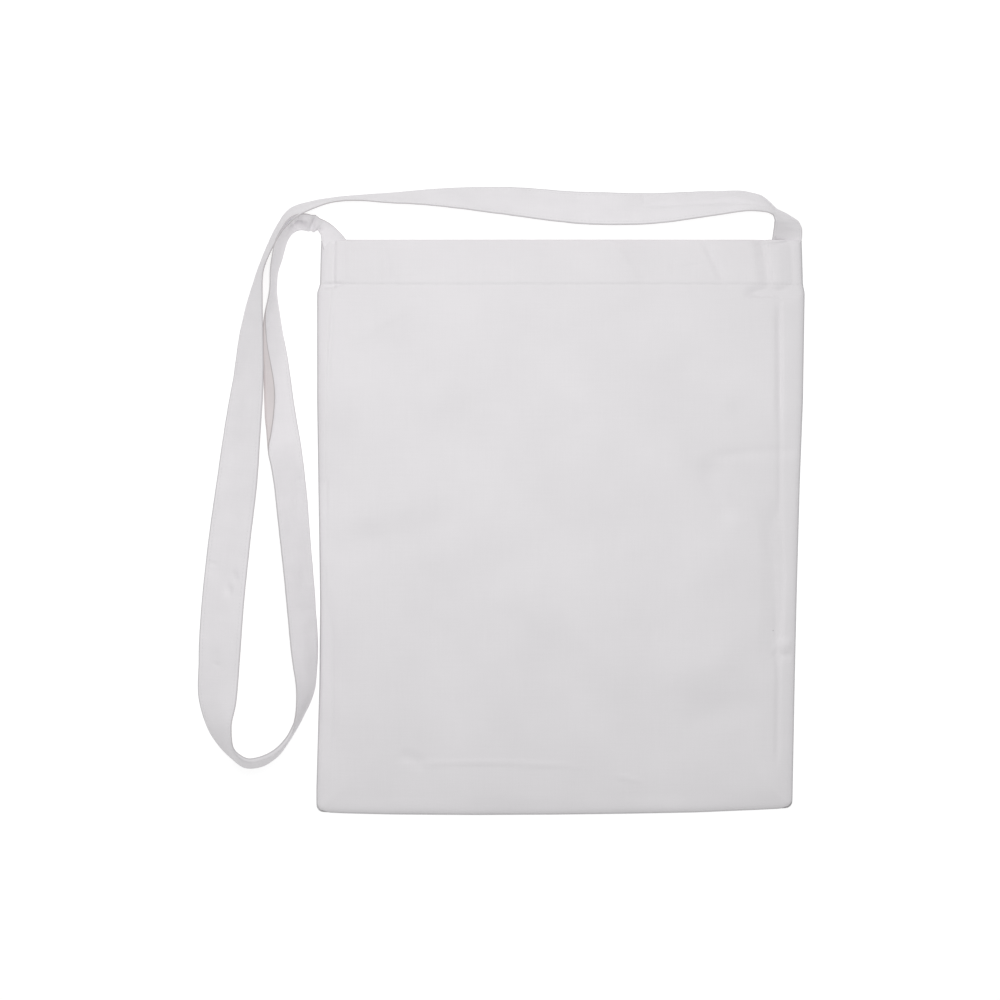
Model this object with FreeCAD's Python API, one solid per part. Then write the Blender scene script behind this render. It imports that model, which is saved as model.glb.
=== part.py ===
import FreeCAD, Part
import math
import os

# A plain cotton sling bag lying flat on its back.  X runs across the bag, Y towards its mouth and
# Z up from the surface.  The origin is on the underside of the back panel, in its middle.

Vector = FreeCAD.Vector

# ---- driving dimensions, in millimetres ----
CLOTH = 0.7                 # thickness of one layer of bag cloth
STRAP_WIDTH = 34.0          # full width of the strap
STRAP_THICK = 1.2           # folded strap, several layers of cloth
MOUTH_Y = 223.5             # top edge of the bag
HEM_DEPTH = 35.5            # how far the turned-in hem reaches below the mouth
HEM_STITCH_UP = 1.7         # hem stitch row, above the hem's lower edge
CROWN_INSET = 30.0          # margin over which the front panel rises from its seams
EDGE_Z = 4.8                # underside of the front panel along its seams
CROWN_Z = 8.3               # underside of the front panel over its flat middle
SEAM_FOOT = 9.0             # width of the seam allowance
SEAM_FOOT_Z = 2.1           # top of the allowance: back panel and two layers
SEAM_RIDGE = 1.2            # width of the ridge where the two panels meet
SEAM_RIDGE_Z = 4.4          # top of that ridge, just under the front panel
SEAM_SETBACK = 0.5          # the seam lies this far inside the outline
OVERLOCK = 2.5              # width of the overlocked raw edge
THREAD = 0.5                # width of a row of sewing thread
THREAD_RISE = 0.3           # how far thread stands above the cloth
STITCH_IN = 3.0             # strap stitch rows, in from each edge of the strap
CORNER_R = 6.0              # rounding of the two bottom corners

# The hinge line about which the free loop of the strap lifts.
LIFT_Y = 112.0
LIFT_Z = 12.0
LIFT_GAP = 0.6              # clearance each side of the hinge line
LIFT_REACH = 30.0           # height of the relief above the hinge line
LIFT_FAR = 400.0            # takes in all of the strap on either side

# Outline of the back panel, from the left end of the mouth round to the right end.
# The bag is a little wider just below its hem than at the hem, and tapers to the bottom right.
LEFT_SIDE = [(-187.5, MOUTH_Y), (-188.3, 189.0), (-190.5, 184.5), (-188.7, -40.0), (-191.4, -223.5)]
BOTTOM = [(-66.0, -225.5)]
RIGHT_SIDE = [(180.3, -221.0), (184.4, -50.0), (190.7, 184.5), (189.4, 189.0), (188.3, MOUTH_Y)]

# The strap, from its left end inside the bag, out of the mouth, round the loop that lies beside
# the bag, along above the mouth and back inside at the right.  Each station is the middle of the
# strap in plan, how far it leans (0 flat, 90 on edge, outer edge low), the height of its low edge
# and its width there.
STRAP = [
    (-170.5, 194.0, 0, 2.3, 30.0),
    (-170.5, 209.0, 0, 2.3, 30.0),
    (-175.5, 224.8, 0, 2.3, 23.0),
    (-182.0, 230.0, 35, 1.8, 20.0),
    (-190.0, 233.6, 56, 0.8, 24.0),
    (-199.3, 235.8, 66, 0, 30.0),
    (-208.4, 231.2, 73, 0, STRAP_WIDTH),
    (-216.0, 221.8, 77, 0, STRAP_WIDTH),
    (-221.2, 207.0, 81, 0, STRAP_WIDTH),
    (-224.9, 190.0, 84, 0, STRAP_WIDTH),
    (-224.5, 165.0, 76, 0, STRAP_WIDTH),
    (-222.0, 130.0, 63, 0, STRAP_WIDTH),
    (-218.5, 94.0, 53, 0, STRAP_WIDTH),
    (-214.0, 55.0, 47, 0, STRAP_WIDTH),
    (-208.0, -11.0, 47, 0, STRAP_WIDTH),
    (-203.5, -60.0, 49, 0, STRAP_WIDTH),
    (-200.5, -105.0, 55, 0, STRAP_WIDTH),
    (-200.5, -131.0, 67, 0, STRAP_WIDTH),
    (-204.5, -152.0, 79, 0, STRAP_WIDTH),
    (-211.5, -168.5, 85, 0, STRAP_WIDTH),
    (-222.5, -180.0, 80, 0, STRAP_WIDTH),
    (-234.0, -185.0, 75, 0, STRAP_WIDTH),
    (-246.0, -184.5, 76, 0, STRAP_WIDTH),
    (-257.0, -175.5, 76, 0, STRAP_WIDTH),
    (-265.5, -161.0, 62, 0, STRAP_WIDTH),
    (-268.5, -138.0, 34, 0, STRAP_WIDTH),
    (-267.5, -105.0, 20, 0, STRAP_WIDTH),
    (-264.5, -58.0, 15, 0, STRAP_WIDTH),
    (-259.5, -11.0, 17, 0, STRAP_WIDTH),
    (-253.5, 36.0, 23, 0, STRAP_WIDTH),
    (-248.5, 82.0, 36, 0, STRAP_WIDTH),
    (-244.5, 118.0, 47, 0, STRAP_WIDTH),
    (-242.0, 153.0, 59, 0, STRAP_WIDTH),
    (-239.0, 180.0, 72, 0, STRAP_WIDTH),
    (-234.8, 202.0, 83, 0, STRAP_WIDTH),
    (-227.8, 219.0, 83, 0, STRAP_WIDTH),
    (-220.2, 233.4, 80, 0, STRAP_WIDTH),
    (-210.0, 245.4, 76, 0, STRAP_WIDTH),
    (-194.8, 251.8, 76, 0, STRAP_WIDTH),
    (-178.0, 255.6, 83, 0, STRAP_WIDTH),
    (-160.0, 256.8, 86, 0, STRAP_WIDTH),
    (-137.0, 257.0, 78, 0, STRAP_WIDTH),
    (-101.0, 256.5, 67, 0, STRAP_WIDTH),
    (-50.0, 254.5, 52, 0, STRAP_WIDTH),
    (18.0, 249.5, 43, 0, STRAP_WIDTH),
    (70.0, 249.0, 46, 0, STRAP_WIDTH),
    (121.0, 253.0, 57, 0, STRAP_WIDTH),
    (147.0, 254.5, 65, 0, STRAP_WIDTH),
    (161.5, 249.5, 72, 0, STRAP_WIDTH),
    (171.0, 241.5, 70, 0, 32.0),
    (176.5, 232.5, 46, 1.5, 30.0),
    (175.8, 224.8, 0, 2.3, 24.0),
    (171.5, 209.0, 0, 2.3, 30.0),
    (171.5, 194.0, 0, 2.3, 30.0),
]

# Spans of the strap between stations, by the piece each becomes.
LEFT_TAB = (0, 2)
LEFT_END = (2, 6)
INNER_BEND = (6, 12)
INNER_LEG = (11, 16)
LOOP_BOTTOM = (16, 26)
OUTER_LEG = (26, 31)
OUTER_BEND = (30, 39)
TOP_RUN = (39, 48)
RIGHT_END = (48, 51)
RIGHT_TAB = (51, 53)


def prism(points, low, high):
    """A closed outline in plan, from height low to height high."""
    corners = [Vector(x, y, low) for x, y in points]
    face = Part.Face(Part.makePolygon(corners + corners[:1]))
    return face.extrude(Vector(0, 0, high - low))


def box(low, high):
    return Part.makeBox(high[0] - low[0], high[1] - low[1], high[2] - low[2], Vector(*low))


def chamfered(points, corner, cut):
    """Replace one point of an outline by two, each cut away from it along its side."""
    i = points.index(corner)
    result = points[:i]
    for other in (points[i - 1], points[i + 1]):
        reach = math.dist(corner, other)
        result.append(tuple(c + (o - c) * cut / reach for c, o in zip(corner, other)))
    return result + points[i + 1:]


def round_corners(solid, corners):
    """Round the upright edges that stand on the given corners."""
    edges = []
    for edge in solid.Edges:
        ends = [vertex.Point for vertex in edge.Vertexes]
        upright = len(ends) == 2 and abs(ends[0].z - ends[1].z) > CLOTH / 2
        if upright and any(math.dist((ends[0].x, ends[0].y), corner) < 0.1 for corner in corners):
            edges.append(edge)
    return solid.makeFillet(CORNER_R, edges)


def side_x(side, y):
    """Where one side of the outline is at a given height up the bag."""
    points = sorted(side, key=lambda point: point[1])
    for (x0, y0), (x1, y1) in zip(points, points[1:]):
        if y0 <= y <= y1:
            return x0 + (x1 - x0) * (y - y0) / (y1 - y0)
    raise ValueError("outside the bag")


def side_strip(side, inner, outer, low, high, top_y, bottom_y, inward):
    """A strip that follows one side of the bag, between two distances in from its outline."""
    turns = [y for x, y in side if bottom_y < y < top_y]
    path = [(side_x(side, y), y) for y in sorted(turns + [bottom_y, top_y])]
    near = [(x + inward * outer, y) for x, y in path]
    far = [(x + inward * inner, y) for x, y in reversed(path)]
    return prism(near + far, low, high)


def bottom_strip(inner, outer, low, high, end_gap):
    """A strip that follows the bottom of the bag, between two distances in from its outline."""
    left = LEFT_SIDE[-1]
    right = RIGHT_SIDE[0]
    path = [(left[0] + end_gap, left[1]), BOTTOM[0], (right[0] - end_gap, right[1])]
    near = [(x, y + outer) for x, y in path]
    far = [(x, y + inner) for x, y in reversed(path)]
    return prism(near + far, low, high)


def front_form():
    """The space under the front panel: flat in the middle, falling to its seams on three sides."""
    outline = LEFT_SIDE + BOTTOM + RIGHT_SIDE
    outline = chamfered(outline, LEFT_SIDE[-1], CORNER_R / 2)
    outline = chamfered(outline, RIGHT_SIDE[0], CORNER_R / 2)
    crown = []
    for x, y in outline:
        towards_right = 1 if x < -100 else (-1 if x > 100 else 0)
        crown_y = y + CROWN_INSET if y < -200 else y
        crown.append((x + towards_right * CROWN_INSET, crown_y))
    wires = []
    for points, z in ((outline, EDGE_Z), (crown, CROWN_Z)):
        corners = [Vector(x, y, z) for x, y in points]
        wires.append(Part.makePolygon(corners + corners[:1]))
    return Part.makeLoft(wires, True, True), outline


def raised(shape, height):
    copy = shape.copy()
    copy.translate(Vector(0, 0, height))
    return copy


def front_pieces():
    """The front panel, its turned-in hem and the row of stitches along the hem."""
    form, outline = front_form()
    rim = prism(outline, EDGE_Z, EDGE_Z + CLOTH)
    panel = raised(form, CLOTH).fuse(rim).cut(form).removeSplitter()
    hem_y = MOUTH_Y - HEM_DEPTH
    band = box((LEFT_SIDE[0][0] + 3, hem_y, EDGE_Z + 0.1), (RIGHT_SIDE[-1][0] - 3, MOUTH_Y, CROWN_Z))
    hem = form.cut(raised(form, -CLOTH)).common(band)
    row_y = hem_y + HEM_STITCH_UP
    row = box((LEFT_SIDE[0][0] + 4, row_y, EDGE_Z), (RIGHT_SIDE[-1][0] - 4, row_y + THREAD, CROWN_Z + 3))
    stitches = raised(form, CLOTH + THREAD_RISE).cut(raised(form, CLOTH)).common(row)
    return {"front_panel": panel, "front_hem": hem, "front_hem_stitching": stitches}


def back_pieces():
    """The back panel, its turned-in hem and the row of stitches along the hem."""
    panel = prism(LEFT_SIDE + BOTTOM + RIGHT_SIDE, 0, CLOTH)
    panel = round_corners(panel, [LEFT_SIDE[-1], RIGHT_SIDE[0]])
    hem_y = MOUTH_Y - HEM_DEPTH
    left = LEFT_SIDE[0][0] + 2
    right = RIGHT_SIDE[-1][0] - 2
    hem = box((left, hem_y, CLOTH), (right, MOUTH_Y, 2 * CLOTH))
    row_y = hem_y + HEM_STITCH_UP
    stitches = box((left, row_y, 2 * CLOTH), (right, row_y + THREAD, 2 * CLOTH + THREAD_RISE))
    return {"back_panel": panel, "back_hem": hem, "back_hem_stitching": stitches}


def seam_pieces():
    """Allowances, overlocked edges and stitch rows of the two side seams and the bottom seam."""
    top = MOUTH_Y - HEM_DEPTH - 1
    low = LEFT_SIDE[-1][1] + CORNER_R
    foot_in = SEAM_SETBACK + SEAM_FOOT
    lock_in = foot_in + OVERLOCK
    row_in = SEAM_SETBACK + SEAM_FOOT * 0.8
    ridge_in = SEAM_SETBACK + SEAM_RIDGE
    pieces = {}
    for name, side, inward in (("left", LEFT_SIDE, 1), ("right", RIGHT_SIDE, -1)):
        clear = low + SEAM_FOOT + OVERLOCK
        foot = side_strip(side, foot_in, SEAM_SETBACK, CLOTH, SEAM_FOOT_Z, top, clear, inward)
        ridge = side_strip(side, ridge_in, SEAM_SETBACK, CLOTH, SEAM_RIDGE_Z, top, low, inward)
        pieces[name + "_side_seam"] = foot.fuse(ridge).removeSplitter()
        pieces[name + "_side_overlock"] = side_strip(
            side, lock_in, foot_in, CLOTH, SEAM_FOOT_Z, top, clear, inward)
        pieces[name + "_side_stitching"] = side_strip(
            side, row_in + THREAD, row_in, SEAM_FOOT_Z, SEAM_FOOT_Z + THREAD_RISE, top, clear, inward)
    foot = bottom_strip(foot_in, SEAM_SETBACK, CLOTH, SEAM_FOOT_Z, CORNER_R)
    ridge = bottom_strip(ridge_in, SEAM_SETBACK, CLOTH, SEAM_RIDGE_Z, CORNER_R)
    pieces["bottom_seam"] = foot.fuse(ridge).removeSplitter()
    pieces["bottom_overlock"] = bottom_strip(lock_in, foot_in, CLOTH, SEAM_FOOT_Z, CORNER_R)
    pieces["bottom_stitching"] = bottom_strip(
        row_in + THREAD, row_in, SEAM_FOOT_Z, SEAM_FOOT_Z + THREAD_RISE, CORNER_R)
    return pieces


def strap_section(i, across, up, wide, thick):
    """A rectangle across the strap at one station.

    across and up place its middle from the middle of the strap, over its width and its face.
    """
    x, y, lean, lift, width = STRAP[i]
    before = STRAP[max(i - 1, 0)]
    after = STRAP[min(i + 1, len(STRAP) - 1)]
    along = Vector(after[0] - before[0], after[1] - before[1], 0).normalize()
    left = Vector(-along.y, along.x, 0)
    angle = math.radians(lean)
    over = left * math.cos(angle) - Vector(0, 0, 1) * math.sin(angle)
    face = left * math.sin(angle) + Vector(0, 0, 1) * math.cos(angle)
    height = lift + width / 2 * math.sin(angle) + STRAP_THICK / 2 * math.cos(angle)
    scale = width / STRAP_WIDTH
    middle = Vector(x, y, height) + over * across * scale + face * up
    half_wide = over * (wide * scale / 2)
    half_thick = face * (thick / 2)
    corners = [
        middle - half_wide - half_thick,
        middle + half_wide - half_thick,
        middle + half_wide + half_thick,
        middle - half_wide + half_thick,
    ]
    return Part.makePolygon(corners + corners[:1])


def strap_span(span, across=0.0, up=0.0, wide=STRAP_WIDTH, thick=STRAP_THICK):
    """A length of the strap, or of a thread row on it, from one station to another."""
    first, last = span
    sections = [strap_section(i, across, up, wide, thick) for i in range(first, last + 1)]
    return Part.makeLoft(sections, True, True)


def lift_side(sign):
    """The space on one side of the strap's hinge line, with a relief above it."""
    far = LIFT_Y + sign * LIFT_FAR
    profile = [
        (far, -5),
        (LIFT_Y + sign * LIFT_GAP, -5),
        (LIFT_Y + sign * LIFT_GAP, LIFT_Z),
        (LIFT_Y + sign * (LIFT_GAP + LIFT_REACH), LIFT_Z + LIFT_REACH),
        (far, LIFT_Z + LIFT_REACH),
    ]
    corners = [Vector(-300, y, z) for y, z in profile]
    return Part.Face(Part.makePolygon(corners + corners[:1])).extrude(Vector(110, 0, 0))


def thread_rows(spans):
    """The two rows of stitches near the strap's edges, over the given spans."""
    rows = []
    for span in spans:
        for side in (-1, 1):
            across = side * (STRAP_WIDTH / 2 - STITCH_IN)
            up = STRAP_THICK / 2 + THREAD_RISE / 2
            rows.append(strap_span(span, across, up, THREAD, THREAD_RISE))
    return rows


def strap_pieces():
    """The strap as the spans that lie differently, cut where its free loop lifts."""
    fixed = lift_side(1)
    lifting = lift_side(-1)
    pieces = {
        "strap_left_tab": strap_span(LEFT_TAB),
        "strap_left_end": strap_span(LEFT_END),
        "strap_inner_bend": strap_span(INNER_BEND).common(fixed),
        "strap_inner_leg": strap_span(INNER_LEG).common(lifting),
        "strap_loop_bottom": strap_span(LOOP_BOTTOM),
        "strap_outer_leg": strap_span(OUTER_LEG).common(lifting),
        "strap_outer_bend": strap_span(OUTER_BEND).common(fixed),
        "strap_top_run": strap_span(TOP_RUN),
        "strap_right_end": strap_span(RIGHT_END),
        "strap_right_tab": strap_span(RIGHT_TAB),
    }
    loop = []
    for row in thread_rows([INNER_LEG, OUTER_LEG]):
        loop += row.common(lifting).Solids
    for row in thread_rows([LOOP_BOTTOM]):
        loop += row.Solids
    corner = []
    for row in thread_rows([INNER_BEND, OUTER_BEND]):
        corner += row.common(fixed).Solids
    for row in thread_rows([TOP_RUN]):
        corner += row.Solids
    pieces["strap_loop_stitching"] = Part.makeCompound(loop)
    pieces["strap_top_stitching"] = Part.makeCompound(corner)
    return pieces


def tab_stitches(middle_x):
    """The sewn square with a cross that holds one end of the strap."""
    half_wide = 11.0
    low_y = 196.0
    high_y = 208.0
    base = 2.3 + STRAP_THICK
    top = base + THREAD_RISE
    left = middle_x - half_wide
    right = middle_x + half_wide
    bars = [
        box((left, low_y, base), (right, low_y + THREAD, top)),
        box((left, high_y, base), (right, high_y + THREAD, top)),
        box((left, low_y, base), (left + THREAD, high_y, top)),
        box((right - THREAD, low_y, base), (right, high_y + THREAD, top)),
    ]
    for start, end in (((left, low_y), (right, high_y)), ((left, high_y), (right, low_y))):
        bars.append(prism([start, (start[0] + THREAD, start[1]), (end[0], end[1] + THREAD / 2),
                           (end[0] - THREAD, end[1] + THREAD / 2)], base, top))
    return bars[0].multiFuse(bars[1:]).removeSplitter()


def main():
    pieces = {}
    pieces.update(back_pieces())
    pieces.update(front_pieces())
    pieces.update(seam_pieces())
    pieces.update(strap_pieces())
    pieces["left_tab_stitching"] = tab_stitches(STRAP[0][0])
    pieces["right_tab_stitching"] = tab_stitches(STRAP[-1][0])
    os.makedirs("parts", exist_ok=True)
    for name, shape in pieces.items():
        volume = shape.Volume
        print(name, "solids", len(shape.Solids), "valid", shape.isValid(), "volume", round(volume, 1))
        shape.exportStep("parts/" + name + ".step")


main()
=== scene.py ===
import math
import random

import bpy
import numpy as np
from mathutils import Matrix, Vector


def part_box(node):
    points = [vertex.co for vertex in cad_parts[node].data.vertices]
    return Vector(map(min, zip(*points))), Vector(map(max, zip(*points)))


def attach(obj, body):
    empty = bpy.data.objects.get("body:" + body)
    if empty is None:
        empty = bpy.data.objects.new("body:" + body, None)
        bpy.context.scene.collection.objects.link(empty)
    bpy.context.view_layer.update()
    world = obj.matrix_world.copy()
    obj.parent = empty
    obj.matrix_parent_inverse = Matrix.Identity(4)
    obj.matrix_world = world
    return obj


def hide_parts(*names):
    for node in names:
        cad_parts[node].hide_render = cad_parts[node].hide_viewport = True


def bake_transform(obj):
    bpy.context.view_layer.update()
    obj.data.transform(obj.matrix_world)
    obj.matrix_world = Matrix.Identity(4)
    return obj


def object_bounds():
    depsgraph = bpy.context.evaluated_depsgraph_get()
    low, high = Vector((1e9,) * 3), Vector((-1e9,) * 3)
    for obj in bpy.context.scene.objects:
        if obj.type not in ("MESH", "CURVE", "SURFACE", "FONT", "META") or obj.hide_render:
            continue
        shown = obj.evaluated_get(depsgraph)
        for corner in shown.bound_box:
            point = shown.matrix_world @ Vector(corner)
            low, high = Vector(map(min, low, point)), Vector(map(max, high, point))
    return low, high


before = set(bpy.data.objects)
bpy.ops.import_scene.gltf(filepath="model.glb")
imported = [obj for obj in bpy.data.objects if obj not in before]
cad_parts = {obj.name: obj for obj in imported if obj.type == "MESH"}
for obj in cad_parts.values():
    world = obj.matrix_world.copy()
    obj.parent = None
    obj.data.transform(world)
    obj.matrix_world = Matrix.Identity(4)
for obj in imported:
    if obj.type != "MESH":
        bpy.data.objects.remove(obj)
cad_low, cad_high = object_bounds()

# A white cotton sling bag lying flat.  Everything is in metres, in the frame of the CAD model:
# X across the bag, Y towards its mouth, Z up.  MM turns millimetres into metres.
MM = 0.001
random.seed(7)

# ---- sizes that the pieces share ----
CLOTH = 0.6 * MM            # thickness of the bag's cloth
STRAP_WIDTH = 34.0 * MM
STRAP_THICK = 1.2 * MM
GRID = 2.1 * MM             # spacing of the cloth grids
STRAP_STEP = 1.2 * MM       # spacing along the strap
HEM_DEPTH = 35.5 * MM
HEM_STITCH_UP = 1.7 * MM
STITCH_PITCH = 3.0 * MM
STITCH_LENGTH = 2.3 * MM
RELIEF = 1.7                # how strongly the creases and folds below stand out
FAR_INSIDE = 0.05           # edge distance given to cloth that is nowhere near an edge

MOUTH_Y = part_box("front_panel")[1][1]
BACK_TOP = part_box("back_panel")[1][2]
HEM_Y = MOUTH_Y - HEM_DEPTH
STITCH_Y = HEM_Y + HEM_STITCH_UP


def mm(points):
    """Points given in millimetres, as an array in metres."""
    return np.array(points, float) * MM


# Outline of the bag: across at heights up the left and right sides, and down along the bottom.
LEFT_EDGE = mm([(-191.2, -226), (-191.2, -205), (-188.8, -120), (-188.3, -58), (-189.2, 5),
                (-190.6, 98), (-190.6, 183), (-188.4, 189.5), (-187.5, 224)])
RIGHT_EDGE = mm([(180.9, -226), (181.2, -205), (182.8, -121), (184.4, -50), (186.8, 36),
                 (189.2, 98), (190.6, 183), (189.2, 189.5), (188.3, 224)])
BOTTOM_EDGE = mm([(-192, -223.2), (-172, -224.2), (-133, -225.1), (-66, -225.5), (2, -225.2),
                  (65, -224.4), (115, -223.5), (163, -221.6), (192, -220.2)])
CORNER = 5.5 * MM

# The strap's stations between its two ends: middle in plan, in millimetres, and lean in degrees
# (0 flat, 90 on edge).  They are close to those of the CAD model, but the upper part of the inner
# leg lies flatter.  The first and the last one only give a direction.
STRAP = [
    (-223.4, 200, 81), (-225.4, 186, 81), (-226.3, 165, 68), (-226.4, 130, 42),
    (-224.3, 94, 25), (-215.5, 55, 40), (-208, -11, 46), (-203.5, -60, 49),
    (-200.5, -105, 55), (-200.5, -131, 67), (-205.5, -150, 81), (-212.9, -166.3, 88),
    (-223.5, -179, 84.5), (-234.7, -185.1, 81), (-246, -186.2, 80.5),
    (-256.3, -179.2, 81), (-265.8, -161, 62), (-268.5, -138, 34), (-267.5, -105, 20),
    (-264.5, -58, 15), (-259.5, -11, 17), (-253.5, 36, 23), (-248.5, 82, 36), (-244.5, 118, 47),
    (-242, 153, 59), (-239, 180, 72), (-234.8, 202, 83), (-227.8, 219, 83), (-220.2, 233.4, 80),
    (-210, 245.4, 76), (-194.8, 251.8, 80), (-178, 255.8, 84), (-160, 257.4, 83),
    (-137, 257.4, 78), (-101, 257.8, 68), (-50, 255.5, 53), (18, 249.5, 43), (70, 249, 46),
    (121, 253, 57), (147, 254.5, 65), (157, 251, 70),
]
# The strap's low and high edge, in millimetres, where it comes out of the two corners and turns.
LEFT_END = [
    ((-184, 194, 3.0), (-156, 194, 3.0)), ((-184.5, 209, 3.0), (-156.5, 209, 3.0)),
    ((-187.3, 224.7, 6.0), (-168.3, 224.6, 6.6)), ((-187.7, 228.2, 6.8), (-172, 229, 8.4)),
    ((-189, 229.9, 6.0), (-178.8, 235.4, 10.5)), ((-192.5, 230.9, 4.5), (-186.5, 240, 13)),
    ((-196.9, 231.4, 2), (-192.9, 242.5, 20)), ((-201.6, 231.8, 0.5), (-199.5, 243.1, 28)),
    ((-206.3, 231, 0.3), (-206.3, 242.1, 32)), ((-209.8, 229.4, 0.3), (-211.3, 239, 33)),
    ((-213, 225.5, 0.3), (-216.7, 231.9, 33.3)), ((-215.3, 219.6, 0.3), (-221.9, 222, 33.4)),
    ((-218.1, 209.5, 0.3), (-224.4, 209.4, 33.4)), ((-221.2, 200.1, 0.3), (-225.7, 199.7, 33.5)),
]
RIGHT_END = [
    ((158.6, 258, 0.4), (155.1, 244.7, 31)), ((163.3, 254.1, 2), (159.7, 243.9, 31)),
    ((168.7, 248.6, 5), (162.8, 242.7, 30.5)), ((175.8, 244.7, 8.5), (164.5, 241.1, 29.5)),
    ((180.9, 241.4, 10.6), (164.8, 239.9, 29.2)), ((184.2, 239, 11.2), (165.1, 238.8, 28.8)),
    ((185.6, 237.3, 11), (165.3, 237.6, 27)), ((187.5, 234, 10.2), (165.6, 235, 21.5)),
    ((188.3, 229.8, 6.8), (165.5, 230.6, 12.2)), ((188.2, 225, 3.7), (165, 224.7, 5.2)),
    ((185, 209, 3.0), (157, 209, 3.0)), ((185, 194, 3.0), (157, 194, 3.0)),
]
STAND_IN = 0.3              # how far the standing edge leans towards the middle, per metre of height
# Creases of the strap: the station, then place across, half length, half width and rise in millimetres.
STRAP_CREASES = [
    (4.5, 7, 2.4, 5, -3.2), (5.25, 1, 2.0, 9, 1.8), (5.75, 0, 1.5, 8, -3.2), (6.3, -2, 1.8, 9, 1.8),
    (7.9, 6.5, 5.5, 6.5, -9.5), (6.9, -6, 1.8, 4, 1.6), (7.7, -7, 1.6, 4, -1.4), (8.6, -7, 1.8, 4, 1.4),
    (10, -4, 3.0, 6, 0.9),
    (13.5, 8, 3, 4, 0.7), (58.7, 0, 1.8, 26, 0.7), (18.3, 12, 2.5, 4, -0.8),
    (18.6, 4, 9, 5, -0.7), (19.6, 6, 11, 7, -0.8), (20.1, 5, 5, 9, -0.7), (20.9, 0, 9, 9, 0.6),
    (24.5, -2, 7, 5, 0.5), (30.9, 2, 1.6, 2.6, -0.7), (32.2, -4, 5, 3, -1.5), (32.4, -8, 5, 3, -1.2),
    (32.6, 12, 1.2, 4, -0.5), (33.4, 6, 14, 6, 0.5), (35, 6, 20, 6, -0.5), (37.5, 0, 12, 5, 0.6),
    (43.1, -4, 3, 7, -0.8), (44.5, 2, 6, 4, 0.7), (48.9, 9, 1.5, 4, -0.5), (49.9, 10, 1.8, 5, -0.7),
    (50.2, 3, 15, 3, -1.3), (50.9, 1, 15, 3, -1.5), (51.4, 5, 12, 4, 1.2), (51.9, -3, 16, 3, -1.3),
]
# The strap's standing edge folds over along these stretches: first and last station, greatest width,
# radius of the bend, turn (over its face, or away from it where negative), and how the width swells.
STRAP_FOLDS = [
    (14, 18, 10.5 * MM, 1.5 * MM, math.radians(172), 1.4, 1.1),
    (23.2, 28.3, 3.6 * MM, 0.9 * MM, math.radians(-68), 1.0, 0.5),
]
# A seam allowance in section: distance inside the seam and height, in millimetres.
ALLOWANCE_FORM = ((1.6, 2.8), (2.6, 2.4), (4.2, 2.15), (6.5, 2.1), (9.0, 2.1), (10.6, 2.1))

# Seam line that shows on the front along the left side, from the mouth down to the outline.
LEFT_SEAM = mm([(-177.2, 224), (-177.4, 190), (-178.6, 176), (-181.0, 141), (-182.3, 86),
                (-183.6, 28), (-185.6, -55), (-188.0, -97)])
# Inner edge of the allowance that prints through the front along the right side.
RIGHT_PRINT = mm([(170.0, 176), (171.0, 100), (171.0, 0), (170.0, -100), (168.5, -192)])

# Soft creases of the front: points, half width and rise (negative for a valley), in millimetres.
CREASES = [
    ([(-140, 226), (-134, 186)], 3.5, -0.8), ([(-165, 226), (-163, 186)], 3.5, 0.7),
    ([(38, 226), (62, 186)], 5, 0.7), ([(110, 226), (130, 186)], 2.2, -0.9),
    ([(150, 220), (168, 220.5), (176, 222), (196, 222.4)], 1.2, -0.6),
    ([(196, 60), (150, 58), (108, 54)], 4.5, -0.55),
    ([(88, 212), (88, 196)], 1.2, -0.35), ([(90, 203), (112, 205)], 1.0, -0.3),
    ([(140, 183), (188, 181)], 5, -1.2), ([(112, 58), (121, 28), (136, -2)], 10, -1.5),
    ([(-140, -186), (-60, -184), (0, -186), (30, -190)], 1.3, 0.5),
    ([(-128, -176), (-104, -188)], 5, -0.7), ([(40, -194), (66, -200)], 1.4, 0.4),
    ([(-183, -45), (-184, -195)], 6, -1.4), ([(-168, 140), (-140, 160), (-109, 178)], 5, 0.6),
    ([(-198, 185.5), (-186, 188), (-166, 190.5)], 1.5, -1.0), ([(163, -100), (184, -101)], 2.0, -0.8),
    ([(165, -92), (183, -92)], 4, 0.8), ([(60, -130), (150, -95)], 16, 1.2),
    ([(90, -150), (165, -135)], 14, -1.0), ([(-30, 120), (30, 90), (20, 30)], 14, 0.9),
    ([(-120, 90), (-70, 110)], 16, 0.9), ([(100, 130), (140, 90)], 12, 0.8),
    ([(-60, -40), (10, -80)], 20, 0.9), ([(-150, 60), (-150, -10)], 12, 0.6),
    ([(-200, -16), (-140, -10), (-60, 10)], 15, -1.2),
]
# Sharper folds: points, how far to the right of their direction the cloth falls away, and the drop.
FOLDS = [
    ([(147, 238), (155, 178)], -9, 1.7), ([(169, 242), (172, 176)], -14, 1.5),
    ([(166, 188), (166.5, 130), (166, 72)], -5, 0.8),
    ([(152, 30), (156, -40), (153, -122)], -14, 1.3), ([(194, 190), (172, 190), (140, 188)], -7, 0.9),
    ([(-176, 176), (-181, 100)], 2.5, 0.35),
]


# ---- small helpers ----
def at(points, y):
    """Across the bag at height y, along a side given by its points; straight between them."""
    order = np.argsort(points[:, 1])
    return np.interp(y, points[order, 1], points[order, 0])


def bottom_at(x):
    return np.interp(x, BOTTOM_EDGE[:, 0], BOTTOM_EDGE[:, 1])


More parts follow.
